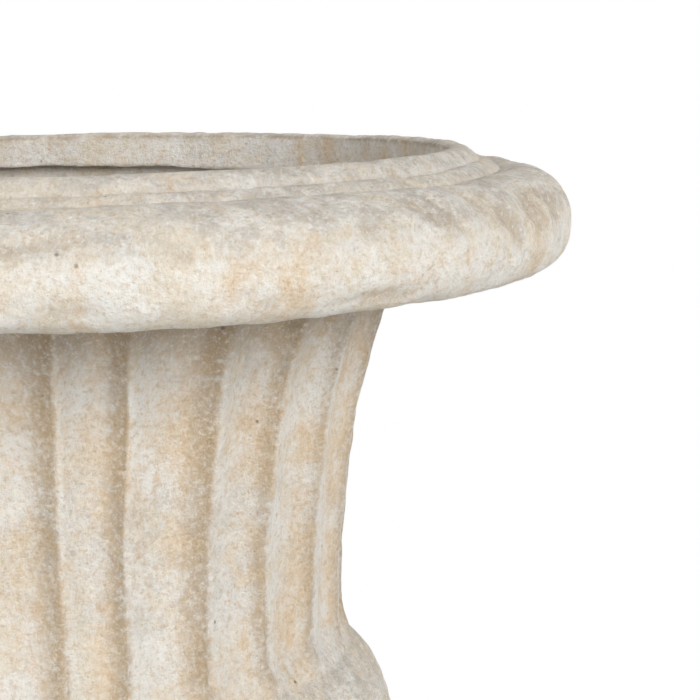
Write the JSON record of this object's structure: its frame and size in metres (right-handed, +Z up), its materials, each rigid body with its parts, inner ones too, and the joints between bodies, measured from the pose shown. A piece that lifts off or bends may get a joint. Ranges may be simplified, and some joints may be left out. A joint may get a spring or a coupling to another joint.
{
  "type": "urn planter",
  "caption": "Campana-shaped garden urn planter in weathered cast stone: rolled rim, fluted flared neck, lobed belly, round socle, square plinth and a drain with a plug.",
  "frame": {"origin": "centre of the underside, on the ground between the four rubber pads", "axes": "+Z up along the urn's axis, -Y the side that faces the camera, +X to its right"},
  "size_m": [0.7, 0.7, 0.7191],
  "materials": {
    "cast_stone": "matt weathered cream limestone with ochre and grey staining",
    "mortar": "matt lime mortar",
    "reinforcing_steel": "dull rusted",
    "stainless_steel": "satin, lightly weathered",
    "black_rubber": "matt",
    "plug_rubber": "matt dark grey"
  },
  "bodies": {
    "urn": {"bowl": "cast_stone", "socle": "cast_stone", "plinth": "cast_stone", "bowl_bedding": "mortar", "socle_bedding": "mortar", "rim_hoop": "reinforcing_steel", "upper_dowels": "stainless_steel", "lower_dowels": "stainless_steel", "tie_tube": "stainless_steel", "drain_collar": "stainless_steel", "collar_washer": "black_rubber", "clamp_washer": "black_rubber", "clamp_plate": "stainless_steel", "clamp_nut": "stainless_steel", "lock_nut": "stainless_steel", "pad_front_left": "black_rubber", "pad_front_right": "black_rubber", "pad_rear_right": "black_rubber", "pad_rear_left": "black_rubber"},
    "drain_plug": {"drain_plug": "plug_rubber"}
  },
  "joints": [
    {"name": "drain_plug_lift", "type": "slide", "parent": "urn", "child": "drain_plug", "axis": [0, 0, 1], "range_m": [0, 0.56]}
  ]
}
